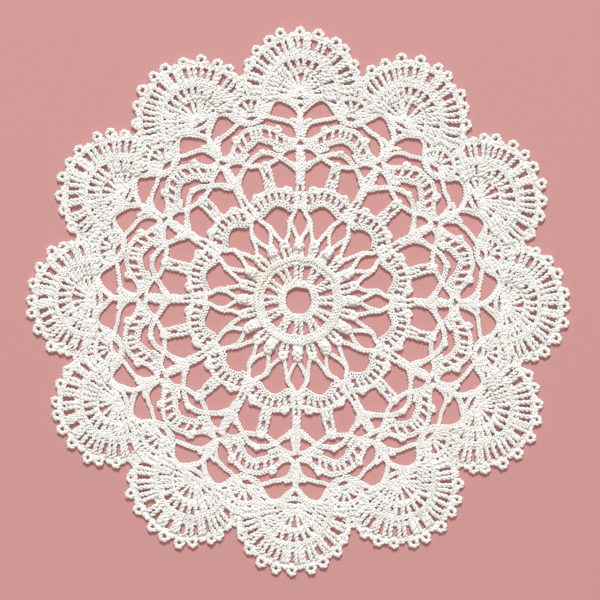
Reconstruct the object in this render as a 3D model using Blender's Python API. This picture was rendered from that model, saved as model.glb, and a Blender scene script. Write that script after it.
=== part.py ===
"""A crocheted lace doily: one flat openwork mat with a net of arches and twelve fans at its edge.

Run it with blender --background --python part.py, or from Blender's text editor. Lengths are in
metres with +Z up, and tables are in millimetres. The origin is under the middle of the doily, on
the surface that it lies on. The first fan points along +Y, and turns are clockwise from there.
"""

import math
from typing import NamedTuple

import bmesh
import bpy

MM = 0.001

# The whole doily
REPEATS = 12
REPEAT_TURN = 360 / REPEATS
THICKNESS = 1.6 * MM
TIP_REACH = 90.7
VALLEY_REACH = 77.0
WHOLE_TURN = 1.0
STRAY_POWER = 2
BOX_MIDDLE = (-0.314, -0.139)

# The middle ring, with one small bump of thread for each repeat
EYE_RADIUS = 4.25
EYE_BUMP = 0.25

# A fan is worked round its heart, and its edge carries nine picots
HEART_OUT = 67.7
FAN_EDGE = 20.7
PICOT_BASE_HALF_TURN = 5.2
PICOT_SHOULDER_HALF_TURN = 4.3
PICOT_SHOULDER_DROP = 0.9
VALLEY_HALF_TURN = 0.55
FAN_WINDOW_TURNS = (0, 15.3, 32.4, 48.7)
FAN_WINDOW_FROM = 14.9
FAN_WINDOW_TO = 18.4
FAN_WINDOW_HALF_WIDTH = 0.65

# What stands proud of the sheet: the ridge across each fan, the ring and the bobbles
RIDGE_INNER = 11.4
RIDGE_OUTER = 12.9
RIDGE_HALF_TURN = 76
RIDGE_STEPS = 6
RING_INNER = 12.1
RING_OUTER = 14.2
RING_STEPS = 24
RELIEF_TOP = 2.1 * MM
RELIEF_FOOT = 0.8 * MM
BOBBLE_OUT = 17.3
BOBBLE_HALF_WIDTH = 1.5
BOBBLE_HALF_LENGTH = 2.5
BOBBLE_TOP = 2.6 * MM
BOBBLE_SIDES = 8
BOBBLE_RINGS = 4
BOBBLE_FOOT = -0.2

# Cotton thread
COTTON_COLOR = (0.84, 0.84, 0.80, 1)
COTTON_ROUGHNESS = 0.9

# Welding distance for the caps of a filled curve
WELD = 1e-6


class Stray(NamedTuple):
    """How one fan, and the valley after it, stray from the even round by hand."""

    tip_turn: float
    tip_reach: float
    valley_turn: float
    valley_reach: float


STRAYS = (
    Stray(0.3, 90.7, 0.8, 76.9),
    Stray(0.5, 91.3, 0.7, 77.5),
    Stray(0.8, 90.8, 1.3, 77.5),
    Stray(1.5, 89.7, 0.8, 76.9),
    Stray(1.0, 90.7, 1.5, 76.9),
    Stray(1.3, 90.5, 1.8, 77.5),
    Stray(1.3, 91.0, 0.7, 77.9),
    Stray(-0.2, 91.3, 0.8, 77.9),
    Stray(0.8, 90.7, 0.2, 77.2),
    Stray(0.5, 90.3, 0.5, 76.2),
    Stray(1.0, 90.2, 0.5, 76.9),
    Stray(0.3, 90.0, 0.2, 76.5),
)


class Picot(NamedTuple):
    """A picot of the fan's edge: its turn about the heart and how far its tip is from the heart."""

    turn: float
    tip: float


PICOTS = (
    Picot(-57.5, 22.0),
    Picot(-44.5, 22.9),
    Picot(-29.5, 22.6),
    Picot(-14.5, 22.7),
    Picot(0, 23.0),
    Picot(14.5, 22.7),
    Picot(29.5, 22.6),
    Picot(44.5, 22.9),
    Picot(57.5, 22.0),
)


class Opening(NamedTuple):
    """One opening of each repeat.

    axis_turn is the turn from the fan's axis to the axis that the opening is drawn on. mirrored says
    that each repeat has it on both sides of the fan's axis or of the valley's. corners are pairs of
    across and out: across is to the clockwise side of the axis, and out is from the middle.
    """

    name: str
    axis_turn: float
    mirrored: bool
    corners: tuple


FAN_AXIS = 0
VALLEY_AXIS = REPEAT_TURN / 2
SLIT_AXIS = REPEAT_TURN / 4

OPENINGS = (
    Opening(
        "first round gap",
        VALLEY_AXIS,
        False,
        ((0, 7.2), (0.7, 8.6), (0.9, 10.4), (0, 11.4), (-0.9, 10.4), (-0.7, 8.6)),
    ),
    Opening(
        "slit beside a bobble",
        SLIT_AXIS,
        True,
        ((0, 14.9), (0.6, 18.6), (0, 22.2), (-0.6, 18.6)),
    ),
    Opening(
        "diamond",
        FAN_AXIS,
        False,
        ((0, 20.9), (1.9, 24.9), (1.6, 27.4), (0, 29.4), (-1.6, 27.4), (-1.9, 24.9)),
    ),
    Opening(
        "arch",
        VALLEY_AXIS,
        False,
        (
            (0, 21.1),
            (2.3, 24.6),
            (3.9, 27.6),
            (4.2, 29.6),
            (2.9, 31.2),
            (0, 31.8),
            (-2.9, 31.2),
            (-4.2, 29.6),
            (-3.9, 27.6),
            (-2.3, 24.6),
        ),
    ),
    Opening(
        "large window",
        VALLEY_AXIS,
        True,
        (
            (2.0, 45.0),
            (4.6, 45.6),
            (7.1, 43.7),
            (8.4, 41.1),
            (8.0, 38.2),
            (7.1, 36.3),
            (5.0, 37.5),
            (2.9, 37.2),
            (1.9, 40.0),
        ),
    ),
    Opening(
        "low crescent",
        VALLEY_AXIS,
        False,
        ((-3.1, 46.8), (-1.4, 48.1), (1.4, 48.1), (3.1, 46.8), (0, 46.5)),
    ),
    Opening(
        "high crescent",
        VALLEY_AXIS,
        False,
        (
            (5.0, 48.5),
            (3.3, 51.1),
            (0, 53.1),
            (-3.3, 51.1),
            (-5.0, 48.5),
            (-2.6, 50.1),
            (0, 50.5),
            (2.6, 50.1),
        ),
    ),
    Opening(
        "window beside the stem",
        FAN_AXIS,
        True,
        ((1.3, 47.3), (2.6, 49.5), (5.4, 47.3), (3.3, 46.1)),
    ),
    Opening(
        "long crescent",
        FAN_AXIS,
        True,
        (
            (12.6, 58.3),
            (9.9, 59.0),
            (6.6, 58.4),
            (3.3, 57.2),
            (1.7, 54.3),
            (2.7, 53.6),
            (4.6, 54.3),
            (6.6, 56.5),
            (8.9, 57.5),
        ),
    ),
    Opening(
        "window under the fan",
        FAN_AXIS,
        True,
        (
            (1.6, 61.4),
            (2.0, 60.4),
            (4.6, 59.9),
            (9.8, 61.2),
            (9.1, 63.1),
            (7.2, 64.9),
            (5.6, 64.9),
            (3.3, 63.3),
        ),
    ),
    Opening(
        "gap in the fan's foot",
        FAN_AXIS,
        False,
        ((0, 62.5), (0.9, 64.0), (-0.9, 64.0)),
    ),
    Opening(
        "gap under the small shell",
        VALLEY_AXIS,
        False,
        ((-1.7, 61.8), (0, 62.3), (1.7, 61.8), (0, 61.2)),
    ),
)


def clear_scene():
    """Removes what the file opened with."""
    for thing in list(bpy.data.objects):
        bpy.data.objects.remove(thing)


def new_collection(name):
    """A collection in the scene."""
    collection = bpy.data.collections.new(name)
    bpy.context.scene.collection.children.link(collection)
    return collection


def cotton():
    """Matt off-white cotton."""
    material = bpy.data.materials.new("cotton")
    material.use_nodes = True
    shader = material.node_tree.nodes["Principled BSDF"]
    shader.inputs["Base Color"].default_value = COTTON_COLOR
    shader.inputs["Roughness"].default_value = COTTON_ROUGHNESS
    shader.inputs["Metallic"].default_value = 0
    return material


def stray_at(turn):
    """The strayed turn and the reach, as a share of the even reach, at this turn of the doily."""
    steps = (turn % 360) / VALLEY_AXIS
    before = int(steps) % (2 * REPEATS)
    blend = (1 - math.cos(math.pi * (steps - int(steps)))) / 2
    knots = []
    for knot in (before, (before + 1) % (2 * REPEATS)):
        stray = STRAYS[knot // 2]
        if knot % 2:
            knots.append((stray.valley_turn, stray.valley_reach / VALLEY_REACH))
        else:
            knots.append((stray.tip_turn, stray.tip_reach / TIP_REACH))
    (turn_a, reach_a), (turn_b, reach_b) = knots
    return turn_a + blend * (turn_b - turn_a), reach_a + blend * (reach_b - reach_a)


def on_doily(turn, reach):
    """The x and y in metres of a point of the even round, moved as the hand has moved it."""
    share = min(reach / TIP_REACH, 1) ** STRAY_POWER
    strayed_turn, strayed_reach = stray_at(turn)
    angle = math.radians(turn + WHOLE_TURN + share * (strayed_turn - WHOLE_TURN))
    far = reach * (1 + share * (strayed_reach - 1))
    x = far * math.sin(angle) - BOX_MIDDLE[0]
    y = far * math.cos(angle) - BOX_MIDDLE[1]
    return x * MM, y * MM


def from_motif(axis_turn, across, out):
    """A point of a motif that is drawn on the axis at axis_turn."""
    turn = axis_turn + math.degrees(math.atan2(across, out))
    return on_doily(turn, math.hypot(across, out))


def from_heart(axis_turn, turn, radius):
    """A point of a fan, by its turn and radius about the fan's heart."""
    angle = math.radians(turn)
    return from_motif(
        axis_turn, radius * math.sin(angle), HEART_OUT + radius * math.cos(angle)
    )


def picot_outline(axis_turn, picot):
    """The five corners of a picot."""
    shoulder = picot.tip - PICOT_SHOULDER_DROP
    corners = (
        (picot.turn - PICOT_BASE_HALF_TURN, FAN_EDGE),
        (picot.turn - PICOT_SHOULDER_HALF_TURN, shoulder),
        (picot.turn, picot.tip),
        (picot.turn + PICOT_SHOULDER_HALF_TURN, shoulder),
        (picot.turn + PICOT_BASE_HALF_TURN, FAN_EDGE),
    )
    return [from_heart(axis_turn, turn, radius) for turn, radius in corners]


def edge_outline():
    """The doily's outer edge: picot after picot, with a valley after each fan."""
    points = []
    for repeat in range(REPEATS):
        axis_turn = repeat * REPEAT_TURN
        for picot in PICOTS:
            points += picot_outline(axis_turn, picot)
        for side in (-1, 1):
            valley_turn = axis_turn + VALLEY_AXIS + side * VALLEY_HALF_TURN
            points.append(on_doily(valley_turn, VALLEY_REACH))
    return points


def eye_outline():
    """The round opening in the middle, drawn in by a bump of thread for each repeat."""
    points = []
    for step in range(2 * REPEATS):
        radius = EYE_RADIUS + (EYE_BUMP if step % 2 else -EYE_BUMP)
        points.append(on_doily(step * VALLEY_AXIS, radius))
    return points


def opening_outlines(opening):
    """Every copy of one opening round the doily."""
    outlines = []
    for repeat in range(REPEATS):
        axis_turn = repeat * REPEAT_TURN
        outlines.append(
            [
                from_motif(axis_turn + opening.axis_turn, across, out)
                for across, out in opening.corners
            ]
        )
        if not opening.mirrored:
            continue
        other_axis = -opening.axis_turn if opening.axis_turn == SLIT_AXIS else opening.axis_turn
        outlines.append(
            [
                from_motif(axis_turn + other_axis, -across, out)
                for across, out in opening.corners
            ]
        )
    return outlines


def fan_windows():
    """The long gaps between the posts of each fan's outer row."""
    turns = sorted({side * turn for turn in FAN_WINDOW_TURNS for side in (-1, 1)})
    middle = (FAN_WINDOW_FROM + FAN_WINDOW_TO) / 2
    half_turn = math.degrees(FAN_WINDOW_HALF_WIDTH / middle)
    outlines = []
    for repeat in range(REPEATS):
        for turn in turns:
            corners = (
                (turn, FAN_WINDOW_FROM),
                (turn + half_turn, middle),
                (turn, FAN_WINDOW_TO),
                (turn - half_turn, middle),
            )
            outlines.append(
                [from_heart(repeat * REPEAT_TURN, *corner) for corner in corners]
            )
    return outlines


def filled_outline(name, outlines, bottom, top):
    """A flat filled shape between two heights, from closed outlines, as a welded mesh object."""
    curve = bpy.data.curves.new(name, "CURVE")
    curve.dimensions = "2D"
    curve.fill_mode = "BOTH"
    curve.extrude = (top - bottom) / 2
    for outline in outlines:
        spline = curve.splines.new("POLY")
        spline.points.add(len(outline) - 1)
        for point, (x, y) in zip(spline.points, outline):
            point.co = (x, y, 0, 1)
        spline.use_cyclic_u = True
    drawn = bpy.data.objects.new(name + "_curve", curve)
    drawn.location.z = (top + bottom) / 2
    bpy.context.scene.collection.objects.link(drawn)
    bpy.context.view_layer.update()
    evaluated = drawn.evaluated_get(bpy.context.evaluated_depsgraph_get())
    mesh = bpy.data.meshes.new_from_object(evaluated)
    mesh.name = name
    solid = bpy.data.objects.new(name, mesh)
    solid.matrix_world = drawn.matrix_world
    bpy.data.objects.remove(drawn)
    shape = bmesh.new()
    shape.from_mesh(mesh)
    bmesh.ops.remove_doubles(shape, verts=shape.verts, dist=WELD)
    bmesh.ops.recalc_face_normals(shape, faces=shape.faces)
    shape.to_mesh(mesh)
    shape.free()
    return solid


def doily_sheet():
    """The flat mat with every opening cut through it."""
    outlines = [edge_outline(), eye_outline()]
    for opening in OPENINGS:
        outlines += opening_outlines(opening)
    outlines += fan_windows()
    return filled_outline("doily", outlines, 0, THICKNESS)


def ridge_outline(axis_turn):
    """The band of raised stitches that runs across a fan."""
    turns = [
        RIDGE_HALF_TURN * (2 * step / RIDGE_STEPS - 1) for step in range(RIDGE_STEPS + 1)
    ]
    outer = [from_heart(axis_turn, turn, RIDGE_OUTER) for turn in turns]
    inner = [from_heart(axis_turn, turn, RIDGE_INNER) for turn in reversed(turns)]
    return outer + inner


def ring_outlines():
    """The raised ring round the middle rosette."""
    turns = [360 * step / RING_STEPS for step in range(RING_STEPS)]
    return [[on_doily(turn, radius) for turn in turns] for radius in (RING_OUTER, RING_INNER)]


def bobble(axis_turn):
    """A popcorn of gathered posts: a long low dome whose flat foot is inside the sheet."""
    shape = bmesh.new()
    bmesh.ops.create_uvsphere(
        shape, u_segments=BOBBLE_SIDES, v_segments=BOBBLE_RINGS, radius=1
    )
    for vert in shape.verts:
        vert.co.z = max(vert.co.z, BOBBLE_FOOT)
    bmesh.ops.recalc_face_normals(shape, faces=shape.faces)
    x, y = from_motif(axis_turn, 0, BOBBLE_OUT)
    mesh = bpy.data.meshes.new("bobble")
    shape.to_mesh(mesh)
    shape.free()
    dome = bpy.data.objects.new("bobble", mesh)
    dome.scale = (BOBBLE_HALF_WIDTH * MM, BOBBLE_HALF_LENGTH * MM, BOBBLE_TOP - THICKNESS / 2)
    dome.rotation_euler.z = math.atan2(-x, y)
    dome.location = (x, y, THICKNESS / 2)
    return dome


def raise_on(sheet, helpers, collection):
    """Joins each raised shape to the sheet, and keeps it as a hidden guide."""
    for helper in helpers:
        collection.objects.link(helper)
        helper.hide_render = True
        helper.display_type = "WIRE"
        join = sheet.modifiers.new("join " + helper.name, "BOOLEAN")
        join.operation = "UNION"
        join.solver = "EXACT"
        join.object = helper


def main():
    clear_scene()
    doily_parts = new_collection("lace doily")
    guides = new_collection("raised shapes")
    guides.hide_render = True
    sheet = doily_sheet()
    sheet.data.materials.append(cotton())
    doily_parts.objects.link(sheet)
    axes = [repeat * REPEAT_TURN for repeat in range(REPEATS)]
    ridges = [
        filled_outline("ridge", [ridge_outline(axis)], RELIEF_FOOT, RELIEF_TOP) for axis in axes
    ]
    ring = filled_outline("ring", ring_outlines(), RELIEF_FOOT, RELIEF_TOP)
    bobbles = [bobble(axis) for axis in axes]
    raise_on(sheet, [ring, *ridges, *bobbles], guides)


main()
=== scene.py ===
"""A crocheted lace doily, modelled thread by thread and laid on a pale floor.

Every stitch is made of round threads: chain cords are plaited from three, posts are twisted from
two, and a popcorn gathers five such posts. One repeat is charted in the tables below. It is
worked twelve times round, each time a little unevenly. The charts are in millimetres, with
across to the clockwise side of a repeat's axis and out from the doily's middle.
"""

import math
from typing import NamedTuple

import bpy
import numpy as np
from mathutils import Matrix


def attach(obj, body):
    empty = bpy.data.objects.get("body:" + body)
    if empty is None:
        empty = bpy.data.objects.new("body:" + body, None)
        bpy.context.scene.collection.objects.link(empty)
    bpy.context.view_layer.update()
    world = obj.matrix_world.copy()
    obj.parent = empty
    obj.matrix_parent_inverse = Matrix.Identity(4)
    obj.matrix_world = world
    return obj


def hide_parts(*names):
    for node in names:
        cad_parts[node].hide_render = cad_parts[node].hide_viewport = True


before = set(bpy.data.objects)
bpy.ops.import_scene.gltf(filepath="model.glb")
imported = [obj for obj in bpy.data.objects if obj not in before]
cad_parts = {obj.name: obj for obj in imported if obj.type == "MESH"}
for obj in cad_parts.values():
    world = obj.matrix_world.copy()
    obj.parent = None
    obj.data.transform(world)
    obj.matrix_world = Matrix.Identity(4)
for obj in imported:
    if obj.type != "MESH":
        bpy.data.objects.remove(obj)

bl_info = {
    "name": "Lace Doily",
    "version": (1, 0, 0),
    "blender": (4, 5, 0),
    "location": "3D View > Sidebar > Doily",
    "description": "Crochets a round cotton doily thread by thread and lays it on a pale floor",
    "category": "Object",
}

MM = 0.001
NODE = "doily"

# The even round that the repeats are charted on
REPEATS = 12
REPEAT_TURN = 360 / REPEATS
FAN_AXIS = 0
VALLEY_AXIS = REPEAT_TURN / 2
TIP_REACH = 90.7
VALLEY_REACH = 77.0
WHOLE_TURN = 1.0
STRAY_POWER = 2
BOX_MIDDLE = (-0.314, -0.139)

# Hearts, about which the fans and the small shells are worked
FAN_HEART = 67.7
SHELL_HEART = 63.1


class Stray(NamedTuple):
    """How one fan, and the valley after it, stray from the even round by hand."""

    tip_turn: float
    tip_reach: float
    valley_turn: float
    valley_reach: float


STRAYS = (
    Stray(0.3, 90.7, 0.8, 76.9),
    Stray(0.5, 91.3, 0.7, 77.5),
    Stray(0.8, 90.8, 1.3, 77.5),
    Stray(1.5, 89.7, 0.8, 76.9),
    Stray(1.0, 90.7, 1.5, 76.9),
    Stray(1.3, 90.5, 1.8, 77.5),
    Stray(1.3, 91.0, 0.7, 77.9),
    Stray(-0.2, 91.3, 0.8, 77.9),
    Stray(0.8, 90.7, 0.2, 77.2),
    Stray(0.5, 90.3, 0.5, 76.2),
    Stray(1.0, 90.2, 0.5, 76.9),
    Stray(0.3, 90.0, 0.2, 76.5),
)


class Cord(NamedTuple):
    """A cord of a repeat: on which axis it is drawn, if its mirror image is worked too, half its
    width, the height of its middle, and the places that it passes."""

    axis: float
    mirrored: bool
    half_width: float
    height: float
    places: tuple


class Ring(NamedTuple):
    """A chain worked round the doily's middle."""

    radius: float
    half_width: float
    height: float


class Spoke(NamedTuple):
    """A post of a fan or a shell: its turn about the heart, where it starts and ends, and half its
    width. Each is worked on both sides of the axis."""

    turn: float
    foot: float
    head: float
    half_width: float


class Bump(NamedTuple):
    """A tight picot on an arch, drawn on the valley's axis: its place, and half its length away
    from the doily's middle and half its width."""

    across: float
    out: float
    half_long: float
    half_wide: float


class Picot(NamedTuple):
    """A picot of a fan's edge: its turn about the heart and how far its tip is from the heart."""

    turn: float
    tip: float


# The soft waves in which the cords wander from the chart
WAVE_SEED = 5
WAVES = 5
SHORTEST_WAVE = 4.0
LONGEST_WAVE = 11.0

TREMBLE = 0.055
POST_FULLNESS = 1.2

# Heights of a cord's middle, from the cords that lie below to those worked over them
LOW = 0.72
MIDDLE = 0.9
OVER = 1.15
HIGH = 1.35

ROSETTE_RINGS = (
    Ring(5.3, 1.05, 0.95),
    Ring(6.5, 0.62, 0.7),
    Ring(12.4, 1.1, 0.95),
    Ring(13.8, 0.95, HIGH),
)

# A popcorn's path, and half its width and its rise in even steps along it
POPCORN_PLACES = ((0, 13.6), (0, 16.0), (0, 18.0), (0, 20.3))
POPCORN_WIDTHS = (2.1, 2.0, 1.85, 2.0, 1.7, 1.3)
POPCORN_RISES = (0.7, 0.75, 1.1, 1.9, 1.5, 0.8)

# A popcorn's posts, and how many degrees they reach round it to each side of its top
POPCORN_POSTS = 5
POPCORN_SPREAD = 78

# Knots on a popcorn: the share of its path, half their length and width, and their height
POPCORN_KNOTS = ((0.58, 0.75, 0.9, 1.25), (0.8, 0.45, 1.0, 0.75))

# The knot between two popcorns
ROSETTE_KNOT_PLACE = (0, 18.9)
ROSETTE_KNOT_REACH = 0.95

ROSETTE_POSTS = (
    Cord(
        FAN_AXIS,
        True,
        0.88,
        LOW,
        ((0.45, 4.6), (0.6, 6.2), (0.75, 7.8), (0.9, 9.6), (1.12, 11.0), (1.3, 12.2)),
    ),
    Cord(VALLEY_AXIS, True, 0.85, LOW, ((0.8, 14.0), (0.9, 16.0), (1.05, 18.0), (0.8, 19.9))),
)

INNER_NET_CHAINS = (
    Cord(
        FAN_AXIS,
        True,
        0.8,
        LOW,
        ((0, 19.4), (1.1, 21.2), (2.2, 23.2), (2.85, 25.2), (2.8, 26.8), (2.0, 28.5), (1.0, 30.0)),
    ),
    Cord(
        VALLEY_AXIS,
        True,
        0.8,
        LOW,
        (
            (0, 19.0),
            (1.1, 20.6),
            (2.2, 22.6),
            (2.95, 24.6),
            (3.4, 25.9),
            (4.3, 27.0),
            (5.8, 28.2),
            (6.4, 29.6),
        ),
    ),
    Cord(FAN_AXIS, True, 0.85, MIDDLE, ((-0.3, 30.2), (1.2, 30.5), (2.4, 31.3))),
    Cord(FAN_AXIS, True, 0.9, LOW, ((0.2, 32.2), (1.2, 32.7), (2.6, 32.8))),
    Cord(
        VALLEY_AXIS,
        True,
        1.32,
        MIDDLE,
        ((-0.4, 32.8), (2.1, 32.2), (3.8, 30.9), (5.0, 29.7), (6.2, 30.0), (8.0, 30.8)),
    ),
    Cord(
        VALLEY_AXIS,
        True,
        0.95,
        LOW,
        ((-0.4, 36.9), (2.6, 36.5), (4.6, 35.7), (6.4, 34.6), (8.2, 33.7), (9.2, 33.8)),
    ),
    Cord(VALLEY_AXIS, True, 0.85, MIDDLE, ((2.2, 36.4), (4.4, 36.1), (6.0, 35.4), (7.0, 34.5))),
)

INNER_NET_POSTS = (
    Cord(VALLEY_AXIS, True, 0.72, LOW, ((1.05, 33.2), (1.15, 36.6))),
    Cord(VALLEY_AXIS, True, 0.84, LOW, ((2.9, 32.6), (3.3, 36.1))),
    Cord(VALLEY_AXIS, True, 0.8, LOW, ((4.1, 31.7), (5.7, 35.1))),
    Cord(VALLEY_AXIS, True, 0.75, LOW, ((6.3, 30.6), (8.0, 34.1))),
    Cord(
        FAN_AXIS,
        True,
        0.77,
        LOW,
        (
            (0.7, 30.2),
            (0.8, 33.4),
            (0.95, 36.2),
            (0.83, 38.6),
            (0.9, 41.6),
            (1.05, 45.0),
            (0.9, 48.6),
        ),
    ),
    Cord(
        VALLEY_AXIS,
        True,
        0.82,
        LOW,
        ((1.4, 36.4), (1.35, 38.6), (1.2, 41.2), (1.25, 43.6), (1.5, 45.6)),
    ),
    Cord(VALLEY_AXIS, False, 0.75, LOW, ((0, 36.6), (0, 40.9))),
    Cord(VALLEY_AXIS, False, 0.7, LOW, ((0, 43.1), (0, 46.0))),
)

OUTER_NET_CHAINS = (
    Cord(
        VALLEY_AXIS,
        True,
        1.0,
        LOW,
        ((-0.4, 49.7), (2.6, 49.1), (5.3, 47.3), (7.7, 44.9), (9.0, 43.1), (9.9, 41.2)),
    ),
    Cord(VALLEY_AXIS, True, 0.92, LOW, ((0, 45.2), (2.0, 45.9), (4.2, 46.4), (5.6, 47.0))),
    Cord(
        FAN_AXIS,
        True,
        0.95,
        LOW,
        ((-0.4, 50.0), (1.6, 50.2), (3.1, 50.0), (4.6, 49.2), (5.9, 48.0), (7.0, 46.4)),
    ),
    Cord(FAN_AXIS, True, 0.8, MIDDLE, ((0.2, 47.2), (0.6, 49.2), (1.6, 50.6))),
    Cord(FAN_AXIS, True, 0.95, MIDDLE, ((0.5, 42.2), (1.7, 44.1), (3.4, 45.4))),
    Cord(FAN_AXIS, False, 0.8, MIDDLE, ((0, 37.9), (0, 42.0), (0, 46.0), (0, 49.2))),
    Cord(VALLEY_AXIS, True, 0.8, MIDDLE, ((4.2, 50.5), (5.4, 49.6), (6.9, 48.5))),
    Cord(FAN_AXIS, True, 0.85, LOW, ((0.2, 53.3), (1.5, 52.0), (2.7, 51.1), (4.0, 50.6))),
    Cord(
        VALLEY_AXIS,
        True,
        1.22,
        LOW,
        (
            (-0.3, 54.8),
            (1.0, 54.2),
            (2.0, 53.8),
            (3.1, 53.2),
            (5.0, 51.7),
            (6.4, 50.5),
            (7.8, 49.8),
            (9.1, 49.6),
        ),
    ),
    Cord(
        VALLEY_AXIS,
        True,
        0.95,
        LOW,
        (
            (-0.4, 58.2),
            (1.9, 58.2),
            (3.3, 57.8),
            (5.6, 56.5),
            (7.6, 54.3),
            (9.3, 52.3),
            (11.1, 51.2),
            (12.7, 51.2),
        ),
    ),
)

STEM_CHAINS = (
    Cord(
        FAN_AXIS,
        True,
        0.85,
        LOW,
        (
            (0.7, 52.2),
            (0.9, 54.4),
            (1.6, 56.4),
            (3.1, 58.2),
            (5.0, 58.9),
            (7.4, 59.3),
            (9.9, 59.9),
            (12.4, 60.3),
            (15.4, 58.0),
        ),
    ),
    Cord(FAN_AXIS, True, 0.8, MIDDLE, ((0.4, 53.6), (0.8, 56.4), (0.5, 58.8), (0.3, 61.2))),
    Cord(FAN_AXIS, False, 0.8, MIDDLE, ((0, 55.6), (0.1, 58.5), (0, 62.3))),
    Cord(
        FAN_AXIS,
        True,
        0.85,
        LOW,
        (
            (0.3, 60.8),
            (1.3, 62.3),
            (2.9, 63.9),
            (5.0, 65.5),
            (6.8, 66.0),
            (8.4, 65.5),
            (9.7, 64.1),
            (10.6, 62.3),
            (11.4, 60.8),
        ),
    ),
    Cord(FAN_AXIS, True, 0.95, MIDDLE, ((-0.4, 64.9), (2.2, 65.2), (4.6, 66.3), (8.0, 67.3))),
    Cord(FAN_AXIS, True, 0.85, MIDDLE, ((-0.4, 67.4), (1.6, 67.0), (3.8, 67.7))),
    Cord(FAN_AXIS, True, 0.7, MIDDLE, ((0.1, 61.6), (1.2, 63.1), (2.8, 64.6))),
    Cord(FAN_AXIS, True, 0.8, MIDDLE, ((0.2, 57.8), (1.7, 58.9), (3.6, 59.4))),
)

OUTER_NET_POSTS = (
    Cord(VALLEY_AXIS, False, 0.68, LOW, ((0, 55.2), (0, 57.7))),
    Cord(VALLEY_AXIS, True, 0.78, LOW, ((1.5, 54.4), (1.7, 57.7))),
    Cord(VALLEY_AXIS, True, 0.66, LOW, ((3.9, 52.9), (4.5, 56.7))),
    Cord(VALLEY_AXIS, True, 0.66, LOW, ((5.6, 51.2), (6.7, 55.3))),
    Cord(VALLEY_AXIS, True, 0.78, LOW, ((7.7, 49.8), (9.1, 53.2))),
    Cord(VALLEY_AXIS, True, 0.8, LOW, ((8.9, 49.8), (10.6, 51.8))),
)

SHELL_CHAINS = (
    Cord(VALLEY_AXIS, True, 0.88, LOW, ((-0.3, 63.1), (1.2, 62.9), (2.5, 62.3), (3.8, 61.6))),
    Cord(VALLEY_AXIS, True, 1.15, MIDDLE, ((-0.3, 60.0), (2.0, 60.3), (3.6, 61.1), (4.4, 62.6))),
    Cord(VALLEY_AXIS, True, 0.9, LOW, ((4.4, 67.6), (6.0, 67.2), (7.6, 67.0), (9.2, 67.6))),
    Cord(VALLEY_AXIS, True, 1.0, LOW, ((-0.4, 73.5), (1.4, 73.4), (2.6, 72.8))),
    Cord(VALLEY_AXIS, True, 0.95, LOW, ((-0.4, 75.6), (1.5, 75.5), (2.6, 75.0))),
)

SHELL_SPOKES = (
    Spoke(15, 1.0, 5.0, 0.7),
    Spoke(49, 1.2, 5.0, 0.72),
    Spoke(66, 1.4, 5.0, 0.76),
    Spoke(82, 1.2, 5.0, 0.78),
    Spoke(98, 1.4, 5.0, 0.8),
    Spoke(6, 5.7, 8.4, 0.76),
    Spoke(18, 5.7, 8.4, 0.7),
    Spoke(35, 5.7, 8.4, 0.7),
    Spoke(48, 5.7, 8.4, 0.7),
    Spoke(62, 5.7, 8.4, 0.7),
    Spoke(76, 5.7, 8.2, 0.7),
)

FAN_INNER_SPOKES = (
    Spoke(14, 0.5, 7.3, 0.68),
    Spoke(33, 0.5, 7.3, 0.7),
    Spoke(46, 0.5, 7.0, 0.72),
    Spoke(59, 0.5, 7.0, 0.74),
    Spoke(78, 0.5, 7.2, 0.74),
    Spoke(95, 0.5, 7.2, 0.72),
    Spoke(106, 0.5, 6.6, 0.78),
)

FAN_HEART_CHAINS = (
    Cord(
        FAN_AXIS,
        True,
        1.1,
        LOW,
        (
            (-0.4, 75.8),
            (2.7, 75.3),
            (4.7, 73.7),
            (5.7, 72.2),
            (6.8, 70.4),
            (7.6, 68.6),
            (7.9, 66.6),
        ),
    ),
    Cord(FAN_AXIS, True, 0.95, MIDDLE, ((5.6, 76.9), (7.2, 75.8), (8.6, 74.3))),
    Cord(FAN_AXIS, True, 0.75, LOW, ((-0.3, 75.0), (1.8, 74.7), (3.6, 73.6))),
)

FAN_ROW_CHAINS = (
    Cord(
        FAN_AXIS,
        True,
        1.05,
        LOW,
        (
            (-0.4, 81.7),
            (3.6, 81.2),
            (6.9, 79.6),
            (9.3, 77.1),
            (11.3, 74.2),
            (12.9, 70.7),
            (13.6, 67.0),
        ),
    ),
    Cord(
        FAN_AXIS,
        True,
        1.1,
        LOW,
        (
            (-0.4, 86.7),
            (5.2, 86.0),
            (9.9, 83.7),
            (13.5, 80.7),
            (16.3, 77.0),
            (17.9, 73.4),
            (18.5, 70.9),
        ),
    ),
)

FAN_MIDDLE_SPOKES = (
    Spoke(6.7, 7.4, 11.6, 0.84),
    Spoke(20, 7.4, 11.6, 0.84),
    Spoke(33.5, 7.4, 11.6, 0.85),
    Spoke(45.5, 7.4, 11.6, 0.85),
    Spoke(54, 7.4, 11.6, 0.85),
    Spoke(63, 7.4, 11.6, 0.85),
    Spoke(72, 7.8, 11.6, 0.8),
    Spoke(80, 7.4, 11.6, 0.85),
    Spoke(89, 7.4, 11.6, 0.85),
    Spoke(98, 7.4, 11.2, 0.85),
)

FAN_OUTER_SPOKES = (
    Spoke(4.4, 12.7, 18.4, 0.78),
    Spoke(8.2, 12.7, 18.4, 0.78),
    Spoke(11.4, 12.7, 18.4, 0.78),
    Spoke(20.4, 12.7, 18.4, 0.8),
    Spoke(27.2, 12.7, 18.4, 0.8),
    Spoke(36.4, 12.7, 18.4, 0.8),
    Spoke(42.6, 12.7, 18.4, 0.8),
    Spoke(50.8, 12.7, 18.4, 0.8),
    Spoke(57.2, 12.7, 18.4, 0.8),
    Spoke(66.2, 12.7, 18.4, 0.8),
    Spoke(72.4, 12.7, 18.2, 0.8),
    Spoke(81.0, 12.7, 17.6, 0.8),
    Spoke(87.5, 12.7, 17.0, 0.8),
)

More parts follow.
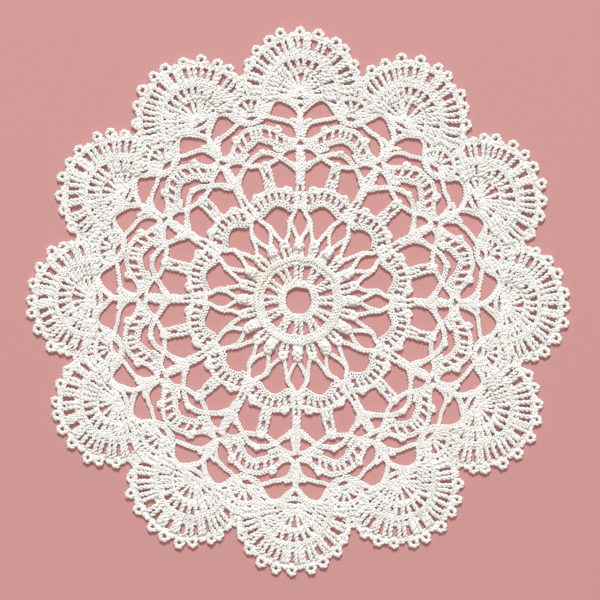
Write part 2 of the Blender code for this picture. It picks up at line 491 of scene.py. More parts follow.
INNER_NET_BUMPS = (
    Bump(-5.3, 35.9, 0.8, 1.1),
    Bump(5.3, 35.9, 0.8, 1.1),
    Bump(0, 45.8, 0.6, 0.8),
)

OUTER_NET_BUMPS = (
    Bump(-7.0, 55.9, 1.0, 0.8),
    Bump(7.0, 55.9, 1.0, 0.8),
    Bump(0.3, 50.0, 0.45, 0.8),
)

PICOTS = (
    Picot(0, 22.7),
    Picot(15.7, 22.7),
    Picot(31.5, 22.6),
    Picot(46.6, 22.4),
    Picot(60.7, 21.9),
)

# From a picot's tip to its middle, and half its length and width
PICOT_DEPTH = 2.2
PICOT_HALF_LONG = 1.32
PICOT_HALF_WIDE = 1.28

# Turns of the tight knots that join the feet of neighbouring picots
KNOT_TURNS = (7.9, 23.6, 39.0, 53.6, 67.0)
KNOT_REACH = 19.5
KNOT_HALF_LONG = 0.4
KNOT_HALF_WIDE = 0.85


class Arc(NamedTuple):
    """A chain arc about a heart: its radius, half its turn, half its width and its height."""

    radius: float
    half_turn: float
    half_width: float
    height: float


SHELL_ARCS = (Arc(5.5, 98, 0.85, MIDDLE), Arc(8.7, 74, 0.9, MIDDLE))
FAN_RIDGE = Arc(12.1, 98, 0.95, HIGH)


class ThreadSettings(bpy.types.PropertyGroup):
    """The thread and how tightly it is worked."""

    thread: bpy.props.FloatProperty(
        name="Thread",
        description="Diameter of the cotton thread",
        default=0.68 * MM,
        min=0.3 * MM,
        max=1.2 * MM,
        unit="LENGTH",
    )
    sides: bpy.props.IntProperty(
        name="Sides", description="Sides of each round thread", default=5, min=4, max=12
    )
    step: bpy.props.FloatProperty(
        name="Step",
        description="Distance between the rings of points along a thread",
        default=0.52 * MM,
        min=0.1 * MM,
        max=1 * MM,
        unit="LENGTH",
    )
    stitch: bpy.props.FloatProperty(
        name="Stitch",
        description="Length of one chain stitch along its cord",
        default=1.1 * MM,
        min=0.5 * MM,
        max=3 * MM,
        unit="LENGTH",
    )
    twist: bpy.props.FloatProperty(
        name="Twist",
        description="Length in which the two threads of a post turn once round each other",
        default=3.2 * MM,
        min=1 * MM,
        max=9 * MM,
        unit="LENGTH",
    )
    unevenness: bpy.props.FloatProperty(
        name="Unevenness",
        description="How far a stitch wanders from its place on the chart",
        default=0.18 * MM,
        min=0,
        max=1 * MM,
        unit="LENGTH",
    )
    seed: bpy.props.IntProperty(
        name="Seed", description="Chooses the small accidents of the hand", default=12, min=0
    )


class FinishSettings(bpy.types.PropertyGroup):
    """The colours of the cotton and of the stage."""

    cotton: bpy.props.FloatVectorProperty(
        name="Cotton",
        description="Colour of the bleached cotton",
        default=(0.95, 0.95, 0.93),
        min=0,
        max=1,
        size=3,
        subtype="COLOR",
    )
    # The grey of worn cotton, also used as painted shade in the grooves between the plies
    grey_and_ply_shade: bpy.props.FloatVectorProperty(
        name="Grey",
        description="Colour of the cotton where it has greyed",
        default=(0.78, 0.79, 0.77),
        min=0,
        max=1,
        size=3,
        subtype="COLOR",
    )
    cream: bpy.props.FloatVectorProperty(
        name="Cream",
        description="Colour of the cotton where it has yellowed",
        default=(0.86, 0.80, 0.62),
        min=0,
        max=1,
        size=3,
        subtype="COLOR",
    )
    floor: bpy.props.FloatVectorProperty(
        name="Floor",
        description="Colour of the plain pale floor",
        default=(0.645, 0.334, 0.324),
        min=0,
        max=1,
        size=3,
        subtype="COLOR",
    )
    key: bpy.props.FloatProperty(
        name="Key Light",
        description="Power of the soft light beyond the doily",
        default=78.0,
        min=0,
        subtype="POWER",
    )
    fill: bpy.props.FloatProperty(
        name="Fill Light",
        description="Power of the broad light overhead",
        default=12.0,
        min=0,
        subtype="POWER",
    )


def strays_at(turns):
    """The strayed turn, and the reach as a share of the even reach, at these turns of the doily."""
    steps = np.mod(turns, 360) / VALLEY_AXIS
    before = np.floor(steps).astype(int) % (2 * REPEATS)
    blend = (1 - np.cos(np.pi * (steps - np.floor(steps)))) / 2
    tips = [(stray.tip_turn, stray.tip_reach / TIP_REACH) for stray in STRAYS]
    valleys = [(stray.valley_turn, stray.valley_reach / VALLEY_REACH) for stray in STRAYS]
    knots = np.stack([tips, valleys], axis=1).reshape(-1, 2)
    here = knots[before]
    after = knots[(before + 1) % len(knots)]
    return (here + blend[:, None] * (after - here)).T


def on_doily(turns, reaches):
    """Points of the even round, moved as the hand has moved them."""
    share = np.minimum(reaches / TIP_REACH, 1) ** STRAY_POWER
    strayed_turn, strayed_reach = strays_at(turns)
    angles = np.radians(turns + WHOLE_TURN + share * (strayed_turn - WHOLE_TURN))
    far = reaches * (1 + share * (strayed_reach - 1))
    spots = np.stack([far * np.sin(angles), far * np.cos(angles)], axis=1)
    return spots - np.array(BOX_MIDDLE)


def from_motif(axis_turn, places):
    """Places of a motif, across and out on the axis at axis_turn, as points of the doily."""
    places = np.asarray(places, float)
    turns = axis_turn + np.degrees(np.arctan2(places[:, 0], places[:, 1]))
    return on_doily(turns, np.hypot(places[:, 0], places[:, 1]))


def from_heart(axis_turn, heart, turns, radii):
    """Points about a heart that lies on the axis at axis_turn."""
    angles = np.radians(np.asarray(turns, float))
    places = np.stack([radii * np.sin(angles), heart + radii * np.cos(angles)], axis=1)
    return from_motif(axis_turn, places)


def ring_places(radius, count):
    """Evenly spaced points round the doily's middle."""
    turns = np.arange(count) * 360 / count
    return on_doily(turns, np.full(count, float(radius)))


class Walk:
    """A smooth line through some spots, in even steps, with the side to its left at each step."""

    def __init__(self, spots, height, step, closed=False):
        spots = np.asarray(spots, float)
        if closed:
            spots = np.vstack([spots[-2:], spots, spots[:3]])
        chord = np.concatenate([[0], np.cumsum(np.linalg.norm(np.diff(spots, axis=0), axis=1))])
        slopes = np.gradient(spots, chord, axis=0)
        start = chord[2] if closed else 0
        end = chord[-3] if closed else chord[-1]
        count = max(int(round((end - start) / step)), 4)
        along = np.linspace(start, end, count + (not closed), endpoint=not closed)
        before = np.clip(np.searchsorted(chord, along, side="right") - 1, 0, len(chord) - 2)
        gap = (chord[before + 1] - chord[before])[:, None]
        part = (along - chord[before])[:, None] / gap
        self.line = (
            spots[before] * (1 + 2 * part) * (1 - part) ** 2
            + slopes[before] * gap * part * (1 - part) ** 2
            + spots[before + 1] * part**2 * (3 - 2 * part)
            + slopes[before + 1] * gap * part**2 * (part - 1)
        )
        self.closed = closed
        self.walked = along - start
        self.length = end - start
        self.height = np.full(len(along), float(height))
        heading = self.differences(self.line)
        heading /= np.linalg.norm(heading, axis=1)[:, None]
        self.left = np.stack([-heading[:, 1], heading[:, 0]], axis=1)

    def differences(self, values):
        """The change of some values from step to step, round the join too if it is closed."""
        if self.closed:
            return np.roll(values, -1, axis=0) - np.roll(values, 1, axis=0)
        return np.gradient(values, axis=0)

    def thread(self, across, rise):
        """A thread that runs beside and above this line."""
        flat = self.line + self.left * across[:, None]
        return np.column_stack([flat, self.height + rise])

    def flared(self, flare):
        """A share that grows from the foot to the head of a post that fans out."""
        return 1 + flare * (self.walked / self.length - 0.4)

    def taper(self, reach=0.8, least=0.3):
        """1 along the middle, less near the two ends where a cord is drawn together."""
        if self.closed:
            return np.ones(len(self.walked))
        nearest = np.minimum(self.walked, self.length - self.walked)
        return np.clip(least + (1 - least) * nearest / reach, least, 1)


class Hank:
    """The threads of one zone of the doily, gathered until they are made one mesh."""

    def __init__(self, settings, seed):
        self.radius = settings.thread / 2 / MM
        self.sides = settings.sides
        self.step = settings.step / MM
        self.stitch = settings.stitch / MM
        self.twist = settings.twist / MM
        self.unevenness = settings.unevenness / MM
        self.chance = np.random.default_rng([settings.seed, seed])
        self.points = []
        self.uvs = []
        self.faces = []
        self.caps = []
        self.count = 0

    def wander(self, spots):
        """Shifts spots softly, so that no two repeats are quite the same."""
        waves = np.random.default_rng(WAVE_SEED)
        moved = np.array(spots, float)
        for _ in range(WAVES):
            reach = waves.uniform(SHORTEST_WAVE, LONGEST_WAVE)
            turn = waves.uniform(0, 2 * np.pi)
            phases = waves.uniform(0, 2 * np.pi, 2)
            where = spots @ np.array([np.cos(turn), np.sin(turn)]) * 2 * np.pi / reach
            moved += self.unevenness * 0.5 * np.sin(where[:, None] + phases)
        return moved

    def walk(self, spots, height, closed=False):
        """A line for a cord to follow."""
        line = Walk(self.wander(np.asarray(spots, float)), height, self.step, closed)
        sway = self.chance.uniform(0, 2 * np.pi)
        line.height = line.height + 0.06 * np.sin(line.walked * 0.9 + sway) * (not closed)
        return line

    def lay(self, line, radius, closed=False):
        """Lays one round thread along a line of points, and no lower than the floor."""
        sides = self.sides
        count = len(line)
        radius = np.broadcast_to(radius, count)
        line = np.column_stack([line[:, :2], np.maximum(line[:, 2], radius)])
        if closed:
            heading = np.roll(line, -1, axis=0) - np.roll(line, 1, axis=0)
        else:
            heading = np.gradient(line, axis=0)
        heading /= np.linalg.norm(heading, axis=1)[:, None] + 1e-9
        side = np.stack([-heading[:, 1], heading[:, 0], np.zeros(count)], axis=1)
        side /= np.linalg.norm(side, axis=1)[:, None] + 1e-9
        up = np.cross(heading, side)
        angles = np.arange(sides) * 2 * np.pi / sides
        circle = np.stack([np.cos(angles), np.sin(angles)])[:, None, :, None]
        sideways, upwards = radius[:, None, None] * circle
        rings = line[:, None] + sideways * side[:, None] + upwards * up[:, None]
        ring = np.arange(count if closed else count - 1)
        corner = np.arange(sides)
        here = ring[:, None] * sides
        after = ((ring + 1) % count)[:, None] * sides
        turned = (corner + 1) % sides
        faces = np.stack(
            [here + corner, here + turned, after + turned, after + corner], axis=2
        ).reshape(-1, 4)
        gaps = np.linalg.norm(np.diff(line, axis=0, append=line[:1]), axis=1)
        walked = np.concatenate([[0], np.cumsum(gaps)])
        low = np.broadcast_to(walked[ring][:, None], (len(ring), sides))
        high = np.broadcast_to(walked[ring + 1][:, None], (len(ring), sides))
        near = np.broadcast_to(corner / sides, (len(ring), sides))
        far = near + 1 / sides
        uvs = np.stack(
            [
                np.stack([near, low], axis=2),
                np.stack([far, low], axis=2),
                np.stack([far, high], axis=2),
                np.stack([near, high], axis=2),
            ],
            axis=2,
        ).reshape(-1, 2)
        self.points.append(rings.reshape(-1, 3))
        self.faces.append(faces + self.count)
        self.uvs.append(uvs)
        if not closed:
            last = self.count + (count - 1) * sides
            self.caps.append(self.count + corner[::-1])
            self.caps.append(last + corner)
        self.count += count * sides

    def tremble(self, line):
        """Small uneven swings of one thread along its line, which meet round a closed one."""
        turn = line.walked / line.length * 2 * np.pi
        swings = np.zeros(len(turn))
        for _ in range(3):
            waves = round(line.length / self.chance.uniform(1.2, 4.5)) + 1
            swings += np.sin(turn * waves + self.chance.uniform(0, 2 * np.pi))
        return TREMBLE * swings

    def chain(self, line, half_width):
        """A chain cord: three threads plaited along a line."""
        stitches = max(int(round(line.length / self.stitch)), 3)
        if line.closed:
            stitches = 3 * max(int(round(stitches / 3)), 1)
        phase = 2 * np.pi * line.walked / line.length * stitches / 3
        start = 0 if line.closed else self.chance.uniform(0, 2 * np.pi)
        rise = self.radius * 1.02
        for strand in range(3):
            angle = phase + start + strand * 2 * np.pi / 3
            spread = (half_width - self.radius) * line.taper() * self.chance.uniform(0.92, 1.1)
            across = spread * np.sin(angle) + self.tremble(line)
            lift = rise * np.sin(2 * angle) * line.taper() + self.tremble(line)
            fullness = self.chance.uniform(0.86, 0.98) + 0.24 * np.sin(angle) ** 2
            self.lay(line.thread(across, lift), self.radius * fullness, line.closed)

    def post(self, line, half_width, flare=0.0):
        """A post: two threads twisted round each other, and a third wound once round them."""
        turns = max(int(round(2 * line.length / self.twist)), 1) / 2
        spin = 2 * np.pi * line.walked / line.length * turns
        start = self.chance.uniform(-0.5, 0.5)
        full = self.radius * POST_FULLNESS
        spread = half_width - full
        flared = spread * line.flared(flare)
        for strand in range(2):
            angle = spin + start + strand * np.pi
            across = flared * np.cos(angle) + self.tremble(line)
            lift = spread * 0.9 * np.sin(angle) + self.tremble(line)
            self.lay(line.thread(across, lift), full * self.chance.uniform(0.92, 1.08), line.closed)
        if line.length > 2.4:
            self.wrap(line, self.chance.uniform(0.35, 0.6), spread + self.radius * 0.75)

    def wrap(self, line, share, reach):
        """A turn of thread wound slantwise round a post."""
        steps = 9
        turn = np.linspace(0, 1.15, steps)
        along = line.length * share + (turn - 0.5) * 0.9
        angle = 2 * np.pi * turn + self.chance.uniform(2.6, 3.6)
        spots = np.stack([np.interp(along, line.walked, line.line[:, k]) for k in range(2)], axis=1)
        left = np.stack([np.interp(along, line.walked, line.left[:, k]) for k in range(2)], axis=1)
        height = np.interp(along, line.walked, line.height) + reach * 0.8 * np.sin(angle)
        flat = spots + left * (reach * np.cos(angle))[:, None]
        self.lay(np.column_stack([flat, height]), self.radius * 0.85)

    def loop(self, middle, outward, half_long, half_wide, height, twists=3):
        """A picot: two threads twisted into a small ring."""
        steps = max(int(round(np.pi * (half_long + half_wide) / self.step)), 10)
        turn = np.arange(steps) * 2 * np.pi / steps
        sideways = np.array([outward[1], -outward[0]])
        ring = np.cos(turn)[:, None] * outward * half_long
        wide = half_wide * (1 - 0.2 * np.cos(turn))
        ring = ring + np.sin(turn)[:, None] * sideways * wide[:, None]
        away = np.cos(turn)[:, None] * outward + np.sin(turn)[:, None] * sideways
        start = self.chance.uniform(0, 2 * np.pi)
        lean = self.chance.uniform(-0.12, 0.2)
        for strand in range(2):
            angle = turn * twists + start + strand * np.pi
            flat = middle + ring + away * (1.15 * self.radius * np.cos(angle))[:, None]
            level = height + 0.95 * self.radius * np.sin(angle) + lean * np.cos(turn)
            full = 1.42 + 0.2 * np.sin(turn * 2 + start)
            self.lay(np.column_stack([flat, level]), self.radius * full, closed=True)

    def picot(self, axis, turn, reach):
        """A picot of a fan's edge, in its uneven place."""
        turn = turn + self.chance.normal(0, 1.7)
        reach = reach + self.chance.normal(0, 0.25)
        lean = self.chance.normal(0, 3.5)
        radii = np.array((reach - PICOT_DEPTH, reach))
        spot, tip = from_heart(axis, FAN_HEART, [turn, turn + lean], radii)
        outward = (tip - spot) / np.linalg.norm(tip - spot)
        half_wide = PICOT_HALF_WIDE * self.chance.uniform(0.88, 1.12)
        self.loop(spot, outward, PICOT_HALF_LONG, half_wide, 0.85)

    def knot(self, axis, turn, reach):
        """A tight knot between two picots."""
        turn = turn + self.chance.normal(0, 1.0)
        spot, beyond = from_heart(axis, FAN_HEART, [turn, turn], np.array((reach, reach + 1)))
        outward = (beyond - spot) / np.linalg.norm(beyond - spot)
        self.loop(spot, outward, KNOT_HALF_LONG, KNOT_HALF_WIDE, 0.75, twists=2)

    def popcorn(self, line):
        """A popcorn: twisted posts worked into one place and gathered, so that they bulge."""
        share = line.walked / line.length
        knots = np.linspace(0, 1, len(POPCORN_WIDTHS))
        width = np.interp(share, knots, POPCORN_WIDTHS) - 1.7 * self.radius
        crown = np.interp(share, knots, POPCORN_RISES) - 1.7 * self.radius
        for post in range(POPCORN_POSTS):
            place = 2 * post / (POPCORN_POSTS - 1) - 1
            around = np.radians(POPCORN_SPREAD * place) + 0.3 * np.sin(share * 5)
            start = self.chance.uniform(0, 2 * np.pi)
            for strand in range(2):
                angle = share * 2 * np.pi * 1.8 + start + strand * np.pi
                out = 0.8 * self.radius * np.cos(angle)
                along = 0.8 * self.radius * np.sin(angle)
                across = (width + out) * np.sin(around) + along * np.cos(around)
                rise = (crown + out) * np.cos(around) - along * np.sin(around)
                across = across + self.tremble(line)
                self.lay(line.thread(across, rise + self.tremble(line)), self.radius * 1.1)
        heading = line.line[-1] - line.line[0]
        heading /= np.linalg.norm(heading)
        for spot, half_long, half_wide, height in POPCORN_KNOTS:
            top = line.line[int(spot * len(share))]
            self.loop(top, heading, half_long, half_wide, LOW + height, twists=2)

    def work(self, cords, stitch):
        """Works every copy of some charted cords, with chain or post."""
        for repeat in range(REPEATS):
            for cord in cords:
                for side in (1, -1) if cord.mirrored else (1,):
                    places = np.array(cord.places) * (side, 1)
                    spots = from_motif(repeat * REPEAT_TURN + cord.axis, places)
                    stitch(self.walk(spots, cord.height), cord.half_width)

    def work_bumps(self, bumps):
        """Works the tight picots of every repeat."""
        for repeat in range(REPEATS):
            axis = repeat * REPEAT_TURN + VALLEY_AXIS
            for bump in bumps:
                nudge = self.chance.uniform(-0.3, 0.3)
                here = (bump.across + nudge, bump.out)
                spot, beyond = from_motif(axis, (here, (here[0] * 1.03, here[1] + 1)))
                outward = (beyond - spot) / np.linalg.norm(beyond - spot)
                self.loop(spot, outward, bump.half_long, bump.half_wide, MIDDLE, twists=2)

    def work_spokes(self, axis, heart, spokes, flare, height=LOW):
        """Works the posts of every fan or shell."""
        for repeat in range(REPEATS):
            for spoke in spokes:
                for side in (1, -1):
                    turn = side * (spoke.turn + self.chance.uniform(-1.3, 1.3))
                    radii = np.linspace(spoke.foot, spoke.head, 3)
                    spots = from_heart(repeat * REPEAT_TURN + axis, heart, [turn] * 3, radii)
                    self.post(self.walk(spots, height), spoke.half_width, flare)

    def work_arcs(self, axis, heart, arc):
        """Works one chain arc of every fan or shell."""
        turns = np.linspace(-arc.half_turn, arc.half_turn, max(int(arc.half_turn / 5), 6))
        radii = np.full(len(turns), arc.radius)
        for repeat in range(REPEATS):
            spots = from_heart(repeat * REPEAT_TURN + axis, heart, turns, radii)
            self.chain(self.walk(spots, arc.height), arc.half_width)

    def made(self, name, finish):
        """The piece made of all the threads gathered so far."""
        points = np.concatenate(self.points) * MM
        faces = np.concatenate(self.faces)
        caps = np.array(self.caps, int).reshape(-1, self.sides)
        corners = np.concatenate([faces.ravel(), caps.ravel()])
        quads = np.arange(len(faces)) * 4
        ends = len(faces) * 4 + np.arange(len(caps)) * self.sides
        uvs = np.concatenate([np.concatenate(self.uvs), np.zeros((caps.size, 2))])
        mesh = bpy.data.meshes.new(name)
        mesh.vertices.add(len(points))
        mesh.vertices.foreach_set("co", points.astype(np.float32).ravel())
        mesh.loops.add(len(corners))
        mesh.loops.foreach_set("vertex_index", corners.astype(np.int32))
        mesh.polygons.add(len(faces) + len(caps))
        mesh.polygons.foreach_set("loop_start", np.concatenate([quads, ends]).astype(np.int32))
        mesh.update(calc_edges=True)
        mesh.validate()
        layer = mesh.uv_layers.new(name="along the thread")
        layer.data.foreach_set("uv", uvs.astype(np.float32).ravel())
        mesh.shade_smooth()
        mesh.materials.append(finish)
        piece = bpy.data.objects.new(name, mesh)
        bpy.context.collection.objects.link(piece)
        return piece


class Wire:
    """A value on a wire between nodes, so that shader maths reads as Python."""

    def __init__(self, finish, socket):
        self.finish = finish
        self.socket = socket

    def maths(self, operation, first, second):
        node = self.finish.node("ShaderNodeMath", {"operation": operation}, {0: first, 1: second})
        return Wire(self.finish, node.outputs[0])

    def __add__(self, other):
        return self.maths("ADD", self, other)

    def __sub__(self, other):
        return self.maths("SUBTRACT", self, other)

    def __rsub__(self, other):
        return self.maths("SUBTRACT", other, self)

    def __mul__(self, other):
        return self.maths("MULTIPLY", self, other)

    def clamped(self):
        node = self.finish.node("ShaderNodeClamp", {}, {0: self})
        return Wire(self.finish, node.outputs[0])


class Finish:
    """A material that is built up node by node."""

    def __init__(self, name):
        self.material = bpy.data.materials.new(name)
        self.material.use_nodes = True
        self.tree = self.material.node_tree
        self.shader = self.tree.nodes["Principled BSDF"]

    def join(self, value, socket):
        if isinstance(value, Wire):
            self.tree.links.new(value.socket, socket)
        else:
            socket.default_value = value

    def node(self, kind, settings, inputs):
        """A node of this kind, with its settings made and its sockets given values or wires."""
        node = self.tree.nodes.new(kind)
        for name, value in settings.items():
            setattr(node, name, value)
        for name, value in inputs.items():
            self.join(value, node.inputs[name])
        return node

    def wire(self, kind, settings, inputs, output=0):
        return Wire(self, self.node(kind, settings, inputs).outputs[output])

    def blended(self, factor, first, second):
        """Two colours blended by a factor."""
        settings = {"data_type": "RGBA", "clamp_factor": True}
        node = self.node("ShaderNodeMix", settings, {0: factor, 6: first, 7: second})
        return Wire(self, node.outputs[2])

    def noise(self, place, scale, detail=2.0):
        """Soft noise at a place, from 0 to 1, with this many cells to the metre."""
        inputs = {"Vector": place, "Scale": scale, "Detail": detail}
        return self.wire("ShaderNodeTexNoise", {}, inputs)

    def spot(self, place, middle, reach):
        """1 at a spot of the doily, fading to 0 at this distance from it, in millimetres."""
        inputs = {0: place, 1: tuple(part * MM for part in middle)}
        distance = self.wire("ShaderNodeVectorMath", {"operation": "DISTANCE"}, inputs, "Value")
        return (1 - distance * (1 / (reach * MM))).clamped()


def colour(value):
    return (*value, 1.0)


# Tints of the cotton: cool and rosy shades that come and go, and the felted patch
COOL = (0.78, 0.86, 0.76)
ROSY = (0.9, 0.78, 0.8)
FELTED = (0.9, 0.82, 0.8)

# Cells of soft noise to the metre
FUZZ_CELLS = 9000.0
WEAR_CELLS = 420.0
TINT_CELLS = 1300.0
GRAIN_CELLS = 700.0

CREAM_SPOT = (-10.7, 8.1, 0)
CREAM_REACH = 9.0
FELTED_SPOT = (50.0, -41.2, 0)
FELTED_REACH = 8.0
PLY_LENGTH = 0.9 * MM


def cotton_finish(settings):
    """Matt bleached cotton, twisted from plies, greyed and yellowed a little in places, with shade
    painted into the grooves between the plies.
    """
    finish = Finish("cotton thread")
    place = finish.wire("ShaderNodeTexCoord", {}, {}, "Object")
    along = finish.wire("ShaderNodeTexCoord", {}, {}, "UV")
    parts = finish.node("ShaderNodeSeparateXYZ", {}, {0: along})
    around = Wire(finish, parts.outputs[0])
    length = Wire(finish, parts.outputs[1])
    slant = around * 3 + length * (MM / PLY_LENGTH)
    ply = finish.wire("ShaderNodeMath", {"operation": "PINGPONG"}, {0: slant, 1: 0.5}) * 2
    fuzz = finish.noise(place, FUZZ_CELLS, 3.0)
    wear = finish.noise(place, WEAR_CELLS, 3.0)
    tint = finish.noise(place, TINT_CELLS)
    # Greys the cotton in random worn patches, and paints shade into the grooves between the plies
    wear_and_ply_shade = ((wear - 0.5) * 1.6 + (fuzz - 0.5) * 0.5 + (1 - ply) * 0.22).clamped()
    base = finish.blended(wear_and_ply_shade, colour(settings.cotton), colour(settings.grey_and_ply_shade))
    base = finish.blended((tint - 0.5) * 0.5, base, colour(COOL))
    base = finish.blended((0.5 - tint) * 0.35, base, colour(ROSY))
    yellowed = finish.spot(place, CREAM_SPOT, CREAM_REACH) * 0.5
    base = finish.blended(yellowed, base, colour(settings.cream))
    felted = finish.spot(place, FELTED_SPOT, FELTED_REACH) * 0.6
    base = finish.blended(felted, base, colour(FELTED))
    relief = ply * 0.6 + fuzz * 0.5
    bump = finish.wire(
        "ShaderNodeBump", {}, {"Strength": 0.4, "Distance": 0.1 * MM, "Height": relief}
    )
    finish.join(base, finish.shader.inputs["Base Color"])
    finish.join((fuzz * 0.1 + 0.86).clamped(), finish.shader.inputs["Roughness"])
    finish.join(bump, finish.shader.inputs["Normal"])
    finish.shader.inputs["Specular IOR Level"].default_value = 0.25
    finish.shader.inputs["Sheen Weight"].default_value = 0.25
    finish.shader.inputs["Sheen Roughness"].default_value = 0.5
    return finish.material


def floor_finish(settings):
    """Plain matt floor with the faintest grain."""
    finish = Finish("pale floor")
    place = finish.wire("ShaderNodeTexCoord", {}, {}, "Object")
    grain = finish.noise(place, GRAIN_CELLS, 4.0)
    shade = tuple(part * 0.93 for part in settings.floor)
    base = finish.blended(grain, colour(settings.floor), colour(shade))
    finish.join(base, finish.shader.inputs["Base Color"])
    finish.shader.inputs["Roughness"].default_value = 0.95
    finish.shader.inputs["Specular IOR Level"].default_value = 0.1
    return finish.material


def shared_finish():
    """The cotton of every piece, made once."""
    found = bpy.data.materials.get("cotton thread")
    return found or cotton_finish(bpy.context.scene.doily_finish)


def new_hank(seed):
    return Hank(bpy.context.scene.doily_thread, seed)


def placed(hank, name):
    """Makes the piece, rides it on the doily's body and lets it stand for the solid."""
    piece = hank.made(name, shared_finish())
    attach(piece, "root")
    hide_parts(NODE)
    return piece


class DOILY_OT_rosette(bpy.types.Operator):
    """Crochets the middle ring, its round of posts, the raised ring and the popcorns"""

    bl_idname = "doily.rosette"
    bl_label = "Middle Rosette"

    def execute(self, context):
        hank = new_hank(1)
        for ring in ROSETTE_RINGS:
            line = hank.walk(ring_places(ring.radius, 48), ring.height, closed=True)
            hank.chain(line, ring.half_width)
        hank.work(ROSETTE_POSTS, hank.post)
        for repeat in range(REPEATS):
            axis = repeat * REPEAT_TURN
            hank.popcorn(hank.walk(from_motif(axis, POPCORN_PLACES), LOW))
            spot = from_motif(axis + VALLEY_AXIS, (ROSETTE_KNOT_PLACE,))[0]
            outward = spot / np.linalg.norm(spot)
            hank.loop(spot, outward, ROSETTE_KNOT_REACH, ROSETTE_KNOT_REACH, 1.0)
        placed(hank, "middle_rosette")
        return {"FINISHED"}


class DOILY_OT_inner_net(bpy.types.Operator):
    """Crochets the net of diamonds and arches round the rosette"""

    bl_idname = "doily.inner_net"
    bl_label = "Inner Net"

    def execute(self, context):
        hank = new_hank(2)
        hank.work(INNER_NET_CHAINS, hank.chain)
        hank.work(INNER_NET_POSTS, hank.post)
        hank.work_bumps(INNER_NET_BUMPS)
        placed(hank, "inner_net")
        return {"FINISHED"}


class DOILY_OT_outer_net(bpy.types.Operator):
    """Crochets the crossing arches that carry the fans"""

    bl_idname = "doily.outer_net"
    bl_label = "Outer Net"

    def execute(self, context):
        hank = new_hank(3)
        hank.work(OUTER_NET_CHAINS, hank.chain)
        hank.work(OUTER_NET_POSTS, hank.post)
        hank.work_bumps(OUTER_NET_BUMPS)
        placed(hank, "outer_net")
        return {"FINISHED"}


class DOILY_OT_fan_stems(bpy.types.Operator):
    """Crochets the stems that branch under the fans"""

    bl_idname = "doily.fan_stems"
    bl_label = "Fan Stems"

    def execute(self, context):
        hank = new_hank(8)
        hank.work(STEM_CHAINS, hank.chain)
        placed(hank, "fan_stems")
        return {"FINISHED"}


class DOILY_OT_small_shells(bpy.types.Operator):
    """Crochets the small shell between each two fans"""

    bl_idname = "doily.small_shells"
    bl_label = "Small Shells"

    def execute(self, context):
        hank = new_hank(4)
        hank.work(SHELL_CHAINS, hank.chain)
        hank.work_spokes(VALLEY_AXIS, SHELL_HEART, SHELL_SPOKES, 0.5)
        for arc in SHELL_ARCS:
            hank.work_arcs(VALLEY_AXIS, SHELL_HEART, arc)
        placed(hank, "small_shells")
        return {"FINISHED"}


class DOILY_OT_fan_hearts(bpy.types.Operator):
    """Crochets the two inner rows of each fan and the raised ridge across it"""

    bl_idname = "doily.fan_hearts"
    bl_label = "Fan Hearts"

    def execute(self, context):
        hank = new_hank(5)
        hank.work_spokes(FAN_AXIS, FAN_HEART, FAN_INNER_SPOKES, 0.6)
        hank.work(FAN_HEART_CHAINS, hank.chain)
        hank.work_spokes(FAN_AXIS, FAN_HEART, FAN_MIDDLE_SPOKES, 0.5, OVER)
        hank.work_arcs(FAN_AXIS, FAN_HEART, FAN_RIDGE)
        placed(hank, "fan_hearts")
        return {"FINISHED"}



class DOILY_OT_fan_rows(bpy.types.Operator):
    """Crochets the long outer row of posts of each fan, the chain under it and the rim"""

    bl_idname = "doily.fan_rows"
    bl_label = "Fan Rows"

    def execute(self, context):
        hank = new_hank(6)
        hank.work(FAN_ROW_CHAINS, hank.chain)
        hank.work_spokes(FAN_AXIS, FAN_HEART, FAN_OUTER_SPOKES, 0.6, OVER)
        piece = placed(hank, "fan_rows")
        return {"FINISHED"}


class DOILY_OT_fan_edges(bpy.types.Operator):
    """Crochets the nine picots on the rim of each fan and the knots between them"""

    bl_idname = "doily.fan_edges"
    bl_label = "Fan Edges"

    def execute(self, context):
        hank = new_hank(7)
        for repeat in range(REPEATS):
            for picot in PICOTS:
                for side in (1, -1) if picot.turn else (1,):
                    hank.picot(repeat * REPEAT_TURN, side * picot.turn, picot.tip)
            for turn in KNOT_TURNS:
                for side in (1, -1):
                    hank.knot(repeat * REPEAT_TURN, side * turn, KNOT_REACH)
        placed(hank, "fan_edges")
        return {"FINISHED"}


# The camera looks straight down on the spot under the photograph's middle
PHOTO_MIDDLE = (0.775, 0.237)
PHOTO_WIDTH = 197.1
LENS = 85.0
SENSOR = 36.0

FLOOR_SIZE = 3.0
ROOM_GLOW = 0.19
FILL_COLOUR = (1.0, 0.83, 0.78)


class Lamp(NamedTuple):
    """A round soft light: its setting, colour, size in metres, place and turn."""

    name: str
    tint: tuple
    size: float
    place: tuple
    turn: tuple


LAMPS = (
    Lamp("key", (0.94, 1.0, 1.0), 0.7, (0, 2.1, 2.1), (-math.pi / 4, 0, 0)),
    Lamp("fill", FILL_COLOUR, 1.6, (0, -0.3, 2.0), (-0.15, 0, 0)),
)


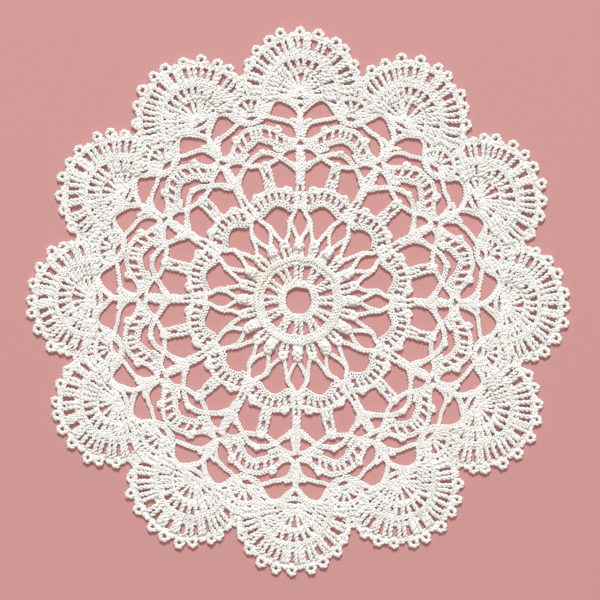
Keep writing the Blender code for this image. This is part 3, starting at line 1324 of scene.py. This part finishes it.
class DOILY_OT_stage(bpy.types.Operator):
    """Sets the camera straight above, and adds the pale floor and the soft lights"""

    bl_idname = "doily.stage"
    bl_label = "Stage"

    def execute(self, context):
        settings = context.scene.doily_finish
        bpy.ops.object.select_all(action="DESELECT")
        bpy.ops.mesh.primitive_plane_add(size=FLOOR_SIZE, location=(0, 0, 0))
        floor = context.object
        floor.name = "floor"
        floor.data.materials.append(floor_finish(settings))
        far = PHOTO_WIDTH * MM * LENS / SENSOR
        bpy.ops.object.camera_add(
            location=(PHOTO_MIDDLE[0] * MM, PHOTO_MIDDLE[1] * MM, far), rotation=(0, 0, 0)
        )
        camera = context.object
        camera.data.lens = LENS
        camera.data.sensor_width = SENSOR
        camera.data.clip_start = 0.01
        context.scene.camera = camera
        for lamp in LAMPS:
            bpy.ops.object.light_add(type="AREA", location=lamp.place, rotation=lamp.turn)
            light = context.object
            light.name = lamp.name
            light.data.energy = getattr(settings, lamp.name)
            light.data.color = lamp.tint
            light.data.shape = "DISK"
            light.data.size = lamp.size
        world = bpy.data.worlds.new("soft room")
        world.use_nodes = True
        backdrop = world.node_tree.nodes["Background"]
        backdrop.inputs["Color"].default_value = colour(FILL_COLOUR)
        backdrop.inputs["Strength"].default_value = ROOM_GLOW
        context.scene.world = world
        context.scene.view_settings.view_transform = "Standard"
        return {"FINISHED"}


PIECE_OPERATORS = (
    DOILY_OT_rosette,
    DOILY_OT_inner_net,
    DOILY_OT_outer_net,
    DOILY_OT_fan_stems,
    DOILY_OT_small_shells,
    DOILY_OT_fan_hearts,
    DOILY_OT_fan_edges,
    DOILY_OT_fan_rows,
    DOILY_OT_stage,
)


class DOILY_PT_panel(bpy.types.Panel):
    """The sidebar panel of the doily's settings and pieces"""

    bl_idname = "DOILY_PT_panel"
    bl_label = "Lace Doily"
    bl_space_type = "VIEW_3D"
    bl_region_type = "UI"
    bl_category = "Doily"

    def draw(self, context):
        for settings in (context.scene.doily_thread, context.scene.doily_finish):
            box = self.layout.box()
            for name in settings.bl_rna.properties.keys():
                if name not in ("rna_type", "name"):
                    box.prop(settings, name)
        for operator in PIECE_OPERATORS:
            self.layout.operator(operator.bl_idname)


CLASSES = (ThreadSettings, FinishSettings, *PIECE_OPERATORS, DOILY_PT_panel)


def register():
    for kind in CLASSES:
        bpy.utils.register_class(kind)
    bpy.types.Scene.doily_thread = bpy.props.PointerProperty(type=ThreadSettings)
    bpy.types.Scene.doily_finish = bpy.props.PointerProperty(type=FinishSettings)


def unregister():
    del bpy.types.Scene.doily_finish
    del bpy.types.Scene.doily_thread
    for kind in reversed(CLASSES):
        bpy.utils.unregister_class(kind)


def main():
    """Makes the pieces and the stage."""
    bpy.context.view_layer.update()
    register()
    bpy.ops.doily.rosette()
    bpy.ops.doily.inner_net()
    bpy.ops.doily.outer_net()
    bpy.ops.doily.fan_stems()
    bpy.ops.doily.small_shells()
    bpy.ops.doily.fan_hearts()
    bpy.ops.doily.fan_edges()
    bpy.ops.doily.fan_rows()
    bpy.ops.doily.stage()


if __name__ == "__main__":
    main()
